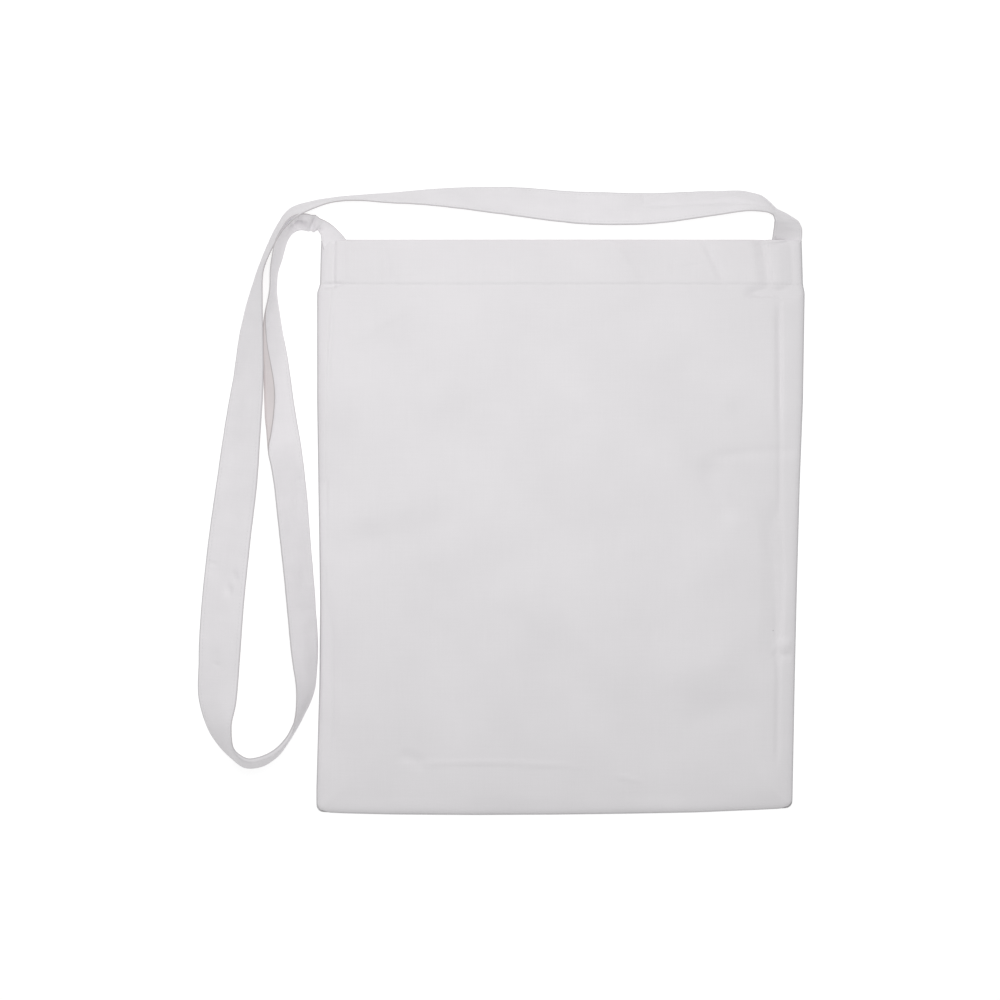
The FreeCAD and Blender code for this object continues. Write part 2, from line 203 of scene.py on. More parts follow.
def distance_to(path, x, y):
    """Distance of each place from a line of points, the way along it from 0 to 1, and the side."""
    best = np.full(np.shape(x), 1e9)
    along = np.zeros(np.shape(x))
    side = np.zeros(np.shape(x))
    lengths = [math.dist(a, b) for a, b in zip(path, path[1:])]
    start = 0.0
    for a, b, length in zip(path, path[1:], lengths):
        ux, uy = (b[0] - a[0]) / length, (b[1] - a[1]) / length
        t = np.clip((x - a[0]) * ux + (y - a[1]) * uy, 0, length)
        dx, dy = x - a[0] - t * ux, y - a[1] - t * uy
        d = np.hypot(dx, dy)
        nearer = d < best
        best = np.where(nearer, d, best)
        along = np.where(nearer, (start + t) / sum(lengths), along)
        side = np.where(nearer, np.sign(ux * (y - a[1]) - uy * (x - a[0])), side)
        start += length
    return best, along, side


def smooth(t):
    t = np.clip(t, 0, 1)
    return t * t * (3 - 2 * t)


def waves(x, y, seed, size, count=9):
    """Soft random undulation, about 1 high, of waves about size long."""
    rng = random.Random(seed)
    total = np.zeros(np.shape(x))
    for _ in range(count):
        angle = rng.uniform(0, math.pi)
        length = size * rng.uniform(0.7, 1.6)
        phase = rng.uniform(0, 2 * math.pi)
        total = total + np.sin((x * math.cos(angle) + y * math.sin(angle)) * 2 * math.pi / length + phase)
    return total / math.sqrt(count) * 0.7


def make_object(name, verts, faces, uv=None, material=None, edge=None, reverse=None):
    """A smooth-shaded mesh object; uv gives cloth coordinates in metres, one pair per vertex.

    edge gives each vertex's distance from the nearest seam or folded edge, in metres, which the cloth
    material turns into painted shade along the edges, and reverse is 1 on the reverse face of the cloth,
    which the material paints darker and warmer as painted shade.
    """
    mesh = bpy.data.meshes.new(name)
    mesh.from_pydata([tuple(v) for v in verts], [], faces)
    if uv is not None:
        corner_vertex = np.empty(len(mesh.loops), int)
        mesh.loops.foreach_get("vertex_index", corner_vertex)
        layer = mesh.uv_layers.new(name="cloth")
        layer.data.foreach_set("uv", np.asarray(uv, float)[corner_vertex].ravel())
        edge = np.full(len(verts), FAR_INSIDE) if edge is None else edge
        layer = mesh.uv_layers.new(name="edge")
        reverse = np.zeros(len(verts)) if reverse is None else reverse
        layer.data.foreach_set("uv", np.stack([edge, reverse], axis=1)[corner_vertex].ravel())
    mesh.polygons.foreach_set("use_smooth", [True] * len(mesh.polygons))
    mesh.update()
    obj = bpy.data.objects.new(name, mesh)
    bpy.context.scene.collection.objects.link(obj)
    if material:
        mesh.materials.append(material)
    return obj


def vertex_normals(verts, faces):
    """Unit normals at the vertices of a surface."""
    corners = np.array(faces)
    a, b, c, d = (verts[corners[:, i]] for i in range(4))
    normal = np.cross(c - a, d - b)
    total = np.zeros_like(verts)
    for i in range(4):
        np.add.at(total, corners[:, i], normal)
    return total / np.maximum(np.linalg.norm(total, axis=1), 1e-12)[:, None]


def shell(name, verts, faces, uv, material, thickness, normals=None, edge=None):
    """A closed sheet: the given surface, the same surface one thickness below, and its rim."""
    own = vertex_normals(verts, faces)
    normals = own if normals is None else normals
    count = len(verts)
    all_verts = np.vstack([verts, verts - normals * thickness])
    seen = {}
    for face in faces:
        for a, b in zip(face, face[1:] + face[:1]):
            seen[(a, b)] = True
    rim_faces = [(b, a, a + count, b + count) for a, b in seen if (b, a) not in seen]
    inner = [tuple(v + count for v in face[::-1]) for face in faces]
    edge = None if edge is None else np.concatenate([edge, edge])
    obj = make_object(name, all_verts, list(faces) + inner + rim_faces, np.vstack([uv, uv]), material, edge)
    mesh = obj.data
    outer_loops = sum(len(face) for face in faces)
    loops = np.zeros((len(mesh.loops), 3))
    corner_vertex = np.empty(len(mesh.loops), int)
    mesh.loops.foreach_get("vertex_index", corner_vertex)
    loops[:outer_loops] = normals[corner_vertex[:outer_loops]]
    mesh.normals_split_custom_set([tuple(n) for n in loops])
    return obj


def grid_faces(rows, columns, flip=False):
    faces = []
    for i in range(rows - 1):
        for j in range(columns - 1):
            a = i * columns + j
            quad = (a, a + 1, a + columns + 1, a + columns)
            faces.append(quad[::-1] if flip else quad)
    return faces


def spaced(low, high, fine_low, fine_high):
    """Places from low to high, GRID apart in the middle and closer near each fine end."""
    near = np.concatenate([[0, 0.35, 0.8, 1.4, 2.1], np.arange(3.0, 17.5, 0.9), [18.6, 20.2]]) * MM
    head = low + near if fine_low else np.array([low])
    tail = high - near[::-1] if fine_high else np.array([high])
    count = max(2, int((tail[0] - head[-1]) / GRID))
    return np.concatenate([head, np.linspace(head[-1], tail[0], count + 1)[1:-1], tail])


# ---- materials ----
def cotton(name, tint, pitch=0.75 * MM, weave=0.3, slub=0.014, edge_width=1.3 * MM, edge_shade=0.76,
           patch_scale=14, reverse=(0.84, 0.805, 0.79)):
    """Plain-weave cotton: threads over and under, uneven thicker threads, a few dark flecks, and painted
    shade along the edges and on the reverse face.
    """
    material = bpy.data.materials.new(name)
    material.use_nodes = True
    tree = material.node_tree
    nodes, link = tree.nodes, tree.links.new
    shader = nodes["Principled BSDF"]
    shader.inputs["Specular IOR Level"].default_value = 0.18
    shader.inputs["Sheen Weight"].default_value = 0.12
    shader.inputs["Sheen Roughness"].default_value = 0.6

    uv = nodes.new("ShaderNodeUVMap")
    uv.uv_map = "cloth"
    split = nodes.new("ShaderNodeSeparateXYZ")
    link(uv.outputs["UV"], split.inputs[0])

    def maths(kind, a, b=0.0, c=0.0):
        node = nodes.new("ShaderNodeMath")
        node.operation = kind
        for socket, value in zip(node.inputs, (a, b, c)):
            if isinstance(value, (int, float)):
                socket.default_value = value
            else:
                link(value, socket)
        return node.outputs[0]

    def noise(scale_u, scale_v, detail, label):
        """Noise stretched along one thread direction."""
        mapping = nodes.new("ShaderNodeMapping")
        mapping.inputs["Scale"].default_value = (scale_u, scale_v, 1)
        link(uv.outputs["UV"], mapping.inputs["Vector"])
        texture = nodes.new("ShaderNodeTexNoise")
        texture.label = label
        texture.inputs["Scale"].default_value = 1.0
        texture.inputs["Detail"].default_value = detail
        link(mapping.outputs[0], texture.inputs["Vector"])
        return texture.outputs["Fac"]

    warp = noise(900, 28, 2, "uneven warp threads")
    weft = noise(28, 900, 2, "uneven weft threads")
    patches = noise(patch_scale, patch_scale, 3, "uneven bleaching")
    crumple = noise(120, 120, 4, "fine crumple")
    turns = 2 * math.pi / pitch
    shifted_u = maths("MULTIPLY_ADD", weft, 0.3 * MM, split.outputs[0])
    shifted_v = maths("MULTIPLY_ADD", warp, 0.3 * MM, split.outputs[1])
    over_u = maths("SINE", maths("MULTIPLY", shifted_u, turns))
    over_v = maths("SINE", maths("MULTIPLY", shifted_v, turns))
    threads = maths("MULTIPLY", over_u, over_v)
    streaks = maths("SUBTRACT", maths("ADD", warp, weft), 1.0)

    # brightness: threads, slubs and patches about 1
    level = maths("MULTIPLY_ADD", threads, 0.008, 1.0)
    level = maths("MULTIPLY_ADD", streaks, slub * 2, level)
    level = maths("MULTIPLY_ADD", maths("SUBTRACT", patches, 0.5), 0.11, level)
    flecks = nodes.new("ShaderNodeTexVoronoi")
    flecks.inputs["Scale"].default_value = 26
    link(uv.outputs["UV"], flecks.inputs["Vector"])
    fleck = maths("LESS_THAN", flecks.outputs["Distance"], 0.012)
    level = maths("MULTIPLY_ADD", fleck, -0.3, level)
    # painted shade: the cloth is darkened along its seams and folded edges, standing in for the shade where
    # the cloth rounds down at its outline and meets the floor
    edge = nodes.new("ShaderNodeUVMap")
    edge.uv_map = "edge"
    edge_split = nodes.new("ShaderNodeSeparateXYZ")
    link(edge.outputs["UV"], edge_split.inputs[0])
    painted_edge_shade = nodes.new("ShaderNodeMapRange")
    painted_edge_shade.interpolation_type = "SMOOTHSTEP"
    painted_edge_shade.inputs["From Min"].default_value = edge_width * 0.35
    painted_edge_shade.inputs["From Max"].default_value = edge_width
    painted_edge_shade.inputs["To Min"].default_value = edge_shade
    painted_edge_shade.inputs["To Max"].default_value = 1.0
    link(edge_split.outputs[0], painted_edge_shade.inputs["Value"])
    level = maths("MULTIPLY", level, painted_edge_shade.outputs[0])
    colour = nodes.new("ShaderNodeMix")
    colour.data_type = "RGBA"
    colour.blend_type = "MULTIPLY"
    colour.inputs["Factor"].default_value = 1.0
    # painted shade: the reverse face of the cloth gets a darker, warmer tint, standing in for the shade on
    # the strap's rolled-over underside
    faces = nodes.new("ShaderNodeMix")
    faces.data_type = "RGBA"
    faces.inputs[6].default_value = (*tint, 1)
    faces.inputs[7].default_value = (*[a * b for a, b in zip(tint, reverse)], 1)
    link(edge_split.outputs[1], faces.inputs["Factor"])
    link(faces.outputs[2], colour.inputs[6])
    grey = nodes.new("ShaderNodeCombineXYZ")
    for socket in grey.inputs:
        link(level, socket)
    link(grey.outputs[0], colour.inputs[7])
    link(colour.outputs[2], shader.inputs["Base Color"])

    rough = maths("MULTIPLY_ADD", threads, -0.06, 0.86)
    link(rough, shader.inputs["Roughness"])

    height = maths("MULTIPLY_ADD", streaks, 0.5, maths("MULTIPLY", threads, 0.4))
    height = maths("MULTIPLY_ADD", crumple, 1.6, height)
    bump = nodes.new("ShaderNodeBump")
    bump.inputs["Strength"].default_value = weave
    bump.inputs["Distance"].default_value = 0.12 * MM
    link(height, bump.inputs["Height"])
    link(bump.outputs["Normal"], shader.inputs["Normal"])
    return material


def thread_material(name, tint):
    """Twisted cotton thread: a fine slanting twist along each stitch."""
    material = bpy.data.materials.new(name)
    material.use_nodes = True
    tree = material.node_tree
    nodes, link = tree.nodes, tree.links.new
    shader = nodes["Principled BSDF"]
    shader.inputs["Specular IOR Level"].default_value = 0.25
    shader.inputs["Sheen Weight"].default_value = 0.15
    place = nodes.new("ShaderNodeTexCoord")
    twist = nodes.new("ShaderNodeTexWave")
    twist.bands_direction = "DIAGONAL"
    twist.inputs["Scale"].default_value = 1400
    twist.inputs["Distortion"].default_value = 1.5
    link(place.outputs["Object"], twist.inputs["Vector"])
    ramp = nodes.new("ShaderNodeValToRGB")
    ramp.color_ramp.elements[0].color = (*[c * 0.86 for c in tint], 1)
    ramp.color_ramp.elements[1].color = (*tint, 1)
    link(twist.outputs["Fac"], ramp.inputs["Fac"])
    link(ramp.outputs["Color"], shader.inputs["Base Color"])
    shader.inputs["Roughness"].default_value = 0.8
    bump = nodes.new("ShaderNodeBump")
    bump.inputs["Strength"].default_value = 0.4
    bump.inputs["Distance"].default_value = 0.05 * MM
    link(twist.outputs["Fac"], bump.inputs["Height"])
    link(bump.outputs["Normal"], shader.inputs["Normal"])
    return material


BAG_CLOTH = cotton("bag_cloth", (0.785, 0.768, 0.785))
STRAP_CLOTH = cotton("strap_cloth", (0.82, 0.80, 0.82), weave=0.4, edge_width=1.2 * MM, edge_shade=0.74,
                     patch_scale=32)
THREAD = thread_material("sewing_thread", (0.82, 0.81, 0.82))


# ---- the bag ----
def edge_round(inset):
    """How the front rises from its seams in a tight curve."""
    return 4.1 * MM * (1 - np.exp(-inset / (1.5 * MM)))


def front_height(x, y, inset):
    """Height of the outer face of the front: round at its seams, then almost flat and relaxed."""
    z = 1.2 * MM + edge_round(inset)
    z = z + 3.3 * MM * (1 - np.exp(-inset / (14 * MM)))
    inner = smooth((inset - 2 * MM) / (14 * MM))
    z = z + inner * (waves(x, y, 3, 150 * MM) * 0.9 + waves(x, y, 5, 55 * MM) * 0.22) * MM
    near = smooth((inset - 0.5 * MM) / (5 * MM))
    for points, width, rise in CREASES:
        d, along, _ = distance_to(mm(points), x, y)
        fade = smooth(along / 0.3) * smooth((1 - along) / 0.3)
        z = z + near * fade * rise * RELIEF * MM * np.exp(-(d / (width * MM)) ** 2)
    for points, width, drop in FOLDS:
        d, along, side = distance_to(mm(points), x, y)
        fade = smooth(along / 0.25) * smooth((1 - along) / 0.25)
        t = d / (abs(width) * MM)
        facing = side * np.sign(width) < 0
        flank = np.minimum(t, 1) * (1 - smooth((t - 1) / 0.5))
        z = z - near * fade * drop * RELIEF * MM * np.where(facing, flank, 0)
    # the seam line on the left: a narrow groove at the hem and low down, a step up outwards between
    d, along, side = distance_to(LEFT_SEAM, x, y)
    strength = 1 - smooth((along - 0.9) / 0.1)
    stepped = smooth((HEM_Y - y) / (4 * MM)) * smooth((y - 30 * MM) / (12 * MM))
    outward = np.where(side > 0, 0.0, 1.0)
    groove = 1.5 * MM * np.exp(-(d / (1.2 * MM)) ** 2) + outward * 0.5 * MM * smooth(d / (2 * MM))
    z = z - strength * (1 - stepped) * groove
    z = z + strength * stepped * outward * 0.9 * MM * smooth(d / (1.4 * MM))
    # the allowance on the right prints through: a shallow valley along its inner edge
    d, along, _ = distance_to(RIGHT_PRINT, x, y)
    fade = smooth(along / 0.05) * smooth((1 - along) / 0.05)
    z = z - fade * (0.9 * MM * np.exp(-(d / (2.4 * MM)) ** 2))
    # the hem: doubled cloth above the stitch row, held above a least height, pulled in at the row
    z = z + 0.45 * MM * smooth((y - HEM_Y - 0.5 * MM) / (2.5 * MM)) * smooth(inset / (4 * MM))
    z = np.maximum(z, 1.5 * MM + edge_round(inset))
    pull = np.exp(-((y - STITCH_Y) / (1.0 * MM)) ** 2) * smooth(inset / (5 * MM))
    pucker = 0.75 + 0.25 * np.sin(x / (7 * MM)) * np.sin(x / (2.7 * MM))
    z = z - 0.55 * MM * pull * pucker
    ripple = np.sin(x / (1.9 * MM) + 2 * np.sin(x / (23 * MM)))
    ripple = np.exp(-(np.abs(y - STITCH_Y) / (7 * MM))) * ripple
    return z + 0.05 * MM * ripple * inner


def sheet_places(xs, ys):
    """Grid places across and up the bag, squeezed between its edges; how far each is inside."""
    u = (xs - xs[0]) / (xs[-1] - xs[0])
    v = (ys - ys[0]) / (ys[-1] - ys[0])
    uu, vv = np.meshgrid(u, v)
    x0 = np.meshgrid(xs, ys)[0]
    low = bottom_at(x0)
    y = low + vv * (MOUTH_Y - low)
    above = y - low
    curve = CORNER - np.sqrt(np.clip(CORNER ** 2 - np.clip(CORNER - above, 0, None) ** 2, 0, None))
    left = at(LEFT_EDGE, y) + curve
    right = at(RIGHT_EDGE, y) - curve
    x = left + uu * (right - left)
    inset = np.minimum(np.minimum(x - left, right - x), above)
    soft = 6 * MM
    both = np.clip(soft - np.minimum(x - left, right - x), 0, None) * np.clip(soft - above, 0, None)
    inset = np.clip(inset - 0.5 * both / soft, 0, None)
    return x, y, inset


def rim(verts, rows, columns, z_levels, insets):
    """Rows of vertices that carry the sheet's edge down and under, round left, bottom and right."""
    grid = verts.reshape(rows, columns, 3)
    path = [(i, 0) for i in range(rows - 1, 0, -1)] + [(0, j) for j in range(columns)]
    path += [(i, columns - 1) for i in range(1, rows)]
    edge = np.array([grid[i, j] for i, j in path])
    ahead = np.roll(edge, -1, axis=0) - np.roll(edge, 1, axis=0)
    ahead[0], ahead[-1] = edge[1] - edge[0], edge[-1] - edge[-2]
    inward = np.stack([-ahead[:, 1], ahead[:, 0], np.zeros(len(edge))], axis=1)
    inward /= np.linalg.norm(inward, axis=1)[:, None]
    rings = []
    for z, inset in zip(z_levels, insets):
        ring = edge + inward * inset
        ring[:, 2] = z
        rings.append(ring)
    index = [i * columns + j for i, j in path]
    return rings, index


def front_sheet():
    """The whole outer face of the front as one grid, with its edge turned under on three sides."""
    xs = spaced(-0.190, 0.190, True, True)
    ys = spaced(-0.225, MOUTH_Y, True, True)
    by_hem = np.arange(HEM_Y - 9 * MM, HEM_Y + 7 * MM, 0.9 * MM)
    ys = np.concatenate([ys[ys < by_hem[0] - 0.5 * MM], by_hem, ys[ys > by_hem[-1] + 0.5 * MM]])
    x, y, inset = sheet_places(xs, ys)
    z = front_height(x, y, inset)
    rows, columns = x.shape
    verts = np.stack([x, y, z], axis=-1).reshape(-1, 3)
    return verts, rows, columns, inset.ravel()


def split_front():
    """The front as its left and right halves, each bending from its side seam to the middle."""
    verts, rows, columns, edge = front_sheet()
    uv = verts[:, :2].copy()
    rings, edge_index = rim(verts, rows, columns, (0.9 * MM, 0.72 * MM), (0.5 * MM, 2.2 * MM))
    middle = columns // 2
    faces = grid_faces(rows, columns)
    ring_start = len(verts)
    all_verts = np.vstack([verts] + rings)
    uv = np.vstack([uv] + [ring[:, :2] for ring in rings])
    # the turned-under rim is at distance 0 from the edge, so it gets the full painted edge shade
    edge = np.concatenate([edge] + [np.zeros(len(ring)) for ring in rings])
    n = len(edge_index)
    for k in range(n - 1):
        a, b = edge_index[k], edge_index[k + 1]
        c, d = ring_start + k, ring_start + k + 1
        faces.append((a, c, d, b))
        faces.append((c, c + n, d + n, d))
    # turn over the mouth: a narrow fold that meets the hem's inner layer
    fold_rows = []
    top_row = verts.reshape(rows, columns, 3)[-1]
    for turn in (40, 80, 120, 160, 180):
        a = math.radians(turn)
        r = np.clip((top_row[:, 2] - 2.6 * MM) / 2, 0.1 * MM, 0.75 * MM)
        row = top_row.copy()
        row[:, 1] += r * math.sin(a)
        row[:, 2] -= r * (1 - math.cos(a))
        fold_rows.append(row)
    start = len(all_verts)
    all_verts = np.vstack([all_verts] + fold_rows)
    uv = np.vstack([uv] + [row[:, :2] + [0, 0.001] for row in fold_rows])
    edge = np.concatenate([edge] + [edge[(rows - 1) * columns: rows * columns]] * len(fold_rows))
    previous = (rows - 1) * columns
    for i in range(len(fold_rows)):
        for j in range(columns - 1):
            a, b = previous + j, start + i * columns + j
            faces.append((a, a + 1, b + 1, b))
        previous = start + i * columns
    column_of = np.full(len(all_verts), -1)
    column_of[:ring_start] = np.arange(ring_start) % columns
    ring_column = np.array([i % columns for i in edge_index])
    for r in range(len(rings)):
        column_of[ring_start + r * n: ring_start + (r + 1) * n] = ring_column
    column_of[start:] = (np.arange(len(all_verts) - start)) % columns
    normals = vertex_normals(all_verts, faces)
    halves = []
    for name, keep in (("front_panel_left", column_of <= middle),
                       ("front_panel_right", column_of >= middle)):
        kept = np.flatnonzero(keep)
        index = np.full(len(all_verts), -1)
        index[kept] = np.arange(len(kept))
        own = [tuple(int(index[v]) for v in face) for face in faces if all(keep[v] for v in face)]
        halves.append(shell(name, all_verts[kept], own, uv[kept], BAG_CLOTH, CLOTH, normals[kept],
                            edge[kept]))
    return halves


def blend_front(piece):
    """A piece of the front, with its placement baked into its mesh."""
    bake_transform(piece)


def front():
    halves = split_front()
    for piece, side in zip(halves, (-1, 1)):
        blend_front(piece)
        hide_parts("front_panel")
    inner_hem("front", -1)
    inner_hem("front", 1)


def inner_hem(which, side):
    """The turned-in layer of a hem, one half of the front's or the whole of the back's."""
    if which == "front":
        if side < 0:
            xs = spaced(-0.185, 0.0, False, False)
        else:
            xs = spaced(0.0, 0.186, False, False)
    else:
        xs = spaced(-0.185, 0.186, False, False)
    ys = np.linspace(HEM_Y, MOUTH_Y, 15)
    x, y = np.meshgrid(xs, ys)
    if which == "front":
        inset = np.minimum(x - at(LEFT_EDGE, y), at(RIGHT_EDGE, y) - x)
        z = front_height(x, y, inset) - CLOTH - 0.85 * MM
        z = z - 0.15 * MM * (1 - smooth((y - HEM_Y) / (3 * MM)))
        name = "front_hem_left" if side < 0 else "front_hem_right"
    else:
        z = np.full(x.shape, BACK_TOP + CLOTH + 0.05 * MM) + 0.06 * MM * waves(x, y, 11, 30 * MM)
        name = "back_hem_layer"
    verts = np.stack([x, y, z], axis=-1).reshape(-1, 3)
    piece = shell(name, verts, grid_faces(*x.shape), verts[:, :2] + [0.5, 0.3], BAG_CLOTH, CLOTH * 0.9)
    if which == "front":
        blend_front(piece)
        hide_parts("front_hem")
    else:
        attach(piece, "bag")
        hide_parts("back_hem")
    return piece


def back():
    """The back panel: flat where it lies on the surface, its edge turned up to meet the front."""
    xs = spaced(-0.190, 0.190, True, True)
    ys = spaced(-0.225, MOUTH_Y, True, False)
    x, y, inset = sheet_places(xs, ys)
    rows, columns = x.shape
    z = 0.66 * MM + 0.5 * MM * np.exp(-inset / (1.0 * MM)) * smooth((MOUTH_Y - y) / (6 * MM))
    z = z + 0.04 * MM * waves(x, y, 13, 40 * MM)
    verts = np.stack([x, y, z], axis=-1).reshape(-1, 3)
    piece = shell("back_panel_sheet", verts, grid_faces(rows, columns), verts[:, :2] + [0, 0.7], BAG_CLOTH,
                  CLOTH, None, inset.ravel())
    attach(piece, "bag")
    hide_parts("back_panel")


# ---- the strap ----
def station_edges():
    """The low and the high edge of the strap at every station, from one sewn-in end to the other."""
    low, high = [list(point) for point, _ in LEFT_END], [list(point) for _, point in LEFT_END]
    for i in range(1, len(STRAP) - 1):
        x, y, lean = STRAP[i]
        ahead = np.array(STRAP[i + 1][:2], float) - np.array(STRAP[i - 1][:2], float)
        ahead /= np.linalg.norm(ahead)
        angle = math.radians(lean)
        reach = STRAP_WIDTH / MM / 2
        out = np.array([-ahead[1], ahead[0]]) * reach * math.cos(angle)
        edge_low = 0.6 * math.cos(angle)
        low.append([x + out[0], y + out[1], edge_low])
        high.append([x - out[0], y - out[1], edge_low + 2 * reach * math.sin(angle)])
    low += [list(point) for point, _ in RIGHT_END]
    high += [list(point) for _, point in RIGHT_END]
    low, high = mm(low), mm(high)
    first, last = len(LEFT_END), len(low) - len(RIGHT_END)
    inward = np.array([cad_low.x + cad_high.x, cad_low.y + cad_high.y]) / 2 - high[first:last, :2]
    high[first:last, :2] += inward * high[first:last, 2:] * STAND_IN
    return low, high


def through(points, s, places):
    """A smooth line through points that lie at s, taken at the given places."""
    slope = np.gradient(points, s, axis=0)
    k = np.clip(np.searchsorted(s, places, side="right") - 1, 0, len(s) - 2)
    h = (s[k + 1] - s[k])[:, None]
    t = ((places - s[k]) / (s[k + 1] - s[k]))[:, None]
    return ((2 * t ** 3 - 3 * t ** 2 + 1) * points[k] + (t ** 3 - 2 * t ** 2 + t) * h * slope[k]
            + (-2 * t ** 3 + 3 * t ** 2) * points[k + 1] + (t ** 3 - t ** 2) * h * slope[k + 1])


def strap_frames():
    """At every step: distance along, middle, direction to the low edge, face direction, width."""
    low, high = station_edges()
    middle = (low + high) / 2
    s = np.concatenate([[0], np.cumsum(np.linalg.norm(np.diff(middle, axis=0), axis=1))])
    places = np.linspace(0, s[-1], int(s[-1] / STRAP_STEP) + 1)
    low, high = through(low, s, places), through(high, s, places)
    middle = (low + high) / 2
    across = low - high
    width = np.linalg.norm(across, axis=1)
    across /= width[:, None]
    along = np.gradient(middle, places, axis=0)
    face = np.cross(across, along)
    face /= np.linalg.norm(face, axis=1)[:, None]
    face *= -1
    return places, middle, across, face, width, s


def strap_relief(s, a, marks):
    """How far the strap's face stands off its flat form: slight ripples, and creases at its bends."""
    relief = 0.22 * MM * waves(s, a * 2.5, 21, 60 * MM, 7) + 0.10 * MM * waves(s, a, 22, 18 * MM, 7)
    for station, across, length, width, rise in STRAP_CREASES:
        place = np.interp(station, np.arange(len(marks)), marks)
        relief = relief + rise * MM * np.exp(-((s - place) / (length * MM)) ** 2
                                             - ((a - across * MM) / (width * MM)) ** 2)
    return relief


def strap_points(frames, lane, lift):
    """A line along the strap, at lane from its middle (in widths) and lift above its face."""
    places, middle, across, face, width, marks = frames
    a = lane * width
    offset = strap_relief(places, a, marks) + lift
    reach, rise, turned = -a, np.zeros(len(places)), np.zeros(len(places))
    for first, last, most, radius, full_turn, skew, swell in STRAP_FOLDS:
        start, end = np.interp((first, last), np.arange(len(marks)), marks)
        t = np.clip((places - start) / (end - start), 0, 1)
        folded = most * np.sin(math.pi * t ** skew) ** swell
        lip = np.clip(folded - a - width / 2, 0, None)
        bent = np.minimum(lip, radius * abs(full_turn))
        turn = bent / radius
        flat = lip - bent
        reach = reach - lip + radius * np.sin(turn) + flat * np.cos(turn)
        rise = rise + math.copysign(1, full_turn) * (radius * (1 - np.cos(turn)) + flat * np.sin(turn))
        turned = turned + math.copysign(1, full_turn) * turn
    out = face * rise[:, None] - across * reach[:, None]
    normal = face * np.cos(turned)[:, None] + across * np.sin(turned)[:, None]
    return middle + out + normal * offset[:, None], normal


def strap():
    """The strap as one closed ribbon, with a slightly thicker line near each edge."""
    frames = strap_frames()
    places = frames[0]
    # places across, closer together near the standing edge, which folds in two stretches
    lanes = np.concatenate([[-0.5, -0.488, -0.47], np.linspace(-0.45, -0.13, 22),
                            np.linspace(-0.1, 0.45, 14), [0.47, 0.488, 0.5]])
    rows, uv, edges, reverse = [], [], [], []
    for sign in (1, -1):
        for lane in (lanes if sign > 0 else lanes[::-1]):
            edge = max(0.0, abs(lane) * 2 - 0.88) / 0.12
            half = STRAP_THICK / 2 * (1 - 0.5 * edge ** 2)
            half = half + 0.09 * MM * math.exp(-((abs(lane) - 0.46) / 0.012) ** 2)
            point, _ = strap_points(frames, lane, sign * half)
            rows.append(point)
            across_uv = lane * STRAP_WIDTH + (0.1 if sign < 0 else 0)
            uv.append(np.stack([np.full(len(places), across_uv), places], axis=1))
            # distance from the strap's nearest edge, which sets its painted edge shade
            edges.append(np.full(len(places), (0.5 - abs(lane)) * STRAP_WIDTH))
            reverse.append(np.full(len(places), 0.0 if sign > 0 else 1.0))
    count = len(rows)
    verts = np.stack(rows, axis=1).reshape(-1, 3)
    uvs = np.stack(uv, axis=1).reshape(-1, 2)
    faces = []
    steps = len(places)
    for i in range(steps - 1):
        for j in range(count):
            a, b = i * count + j, i * count + (j + 1) % count
            faces.append((a, a + count, b + count, b))
    faces.append(tuple(range(count)))
    faces.append(tuple((steps - 1) * count + j for j in reversed(range(count))))
    verts[:, 2] = np.maximum(verts[:, 2], 0.02 * MM)
    piece = make_object("strap", verts, faces, uvs, STRAP_CLOTH, np.stack(edges, axis=1).ravel(),
                        np.stack(reverse, axis=1).ravel())
    blend_strap(piece)
    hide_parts("strap_left_tab", "strap_left_end", "strap_inner_bend", "strap_inner_leg",
                "strap_loop_bottom", "strap_outer_leg", "strap_outer_bend", "strap_top_run",
                "strap_right_end", "strap_right_tab")


def blend_strap(piece):
    """The strap, with its placement baked into its mesh."""
    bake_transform(piece)


# ---- stitches ----
def stitch_mesh(places, directions, ups, length, radius):
    """Short rounded stitches, sunk a little at both ends."""
    ring = 6
    stations = ((-0.5, 0.25, -0.9), (-0.4, 0.85, -0.15), (-0.15, 1.0, 0.25), (0.15, 1.0, 0.25),
                (0.4, 0.85, -0.15), (0.5, 0.25, -0.9))
    verts, faces = [], []
    for place, along, up in zip(places, directions, ups):
        side = np.cross(along, up)
        start = len(verts)
        for t, size, lift in stations:
            centre = place + along * t * length + up * lift * radius
            for k in range(ring):
                angle = 2 * math.pi * k / ring
                verts.append(centre + (side * math.cos(angle) + up * math.sin(angle) * 0.7) * radius * size)
        for i in range(len(stations) - 1):
            for k in range(ring):
                a, b = start + i * ring + k, start + i * ring + (k + 1) % ring
                faces.append((a, b, b + ring, a + ring))
        faces.append(tuple(start + k for k in reversed(range(ring))))
        last = start + (len(stations) - 1) * ring
        faces.append(tuple(last + k for k in range(ring)))
    return np.array(verts), faces


def front_hem_stitches():
    for name, side, low, high in (("front_hem_stitching_left", -1, -0.184, 0.0),
                                  ("front_hem_stitching_right", 1, 0.0, 0.1855)):
        xs = np.arange(low + STITCH_PITCH / 2, high, STITCH_PITCH)
        ys = np.full(len(xs), STITCH_Y) + 0.15 * MM * np.sin(xs / (37 * MM))
        inset = np.minimum(xs - at(LEFT_EDGE, ys), at(RIGHT_EDGE, ys) - xs)
        z = front_height(xs, ys, inset)
        slope = (front_height(xs + 0.5 * MM, ys, inset) - front_height(xs - 0.5 * MM, ys, inset)) / MM
        along = np.stack([np.ones(len(xs)), np.zeros(len(xs)), slope], axis=1)
        along /= np.linalg.norm(along, axis=1)[:, None]
        ups = np.cross(along, np.array([0, 1.0, 0])) * -1
        places = np.stack([xs, ys, z + 0.1 * MM], axis=1)
        verts, faces = stitch_mesh(places, along, ups, STITCH_LENGTH, 0.22 * MM)
        piece = make_object(name, verts, faces, None, THREAD)
        blend_front(piece)
        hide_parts("front_hem_stitching")


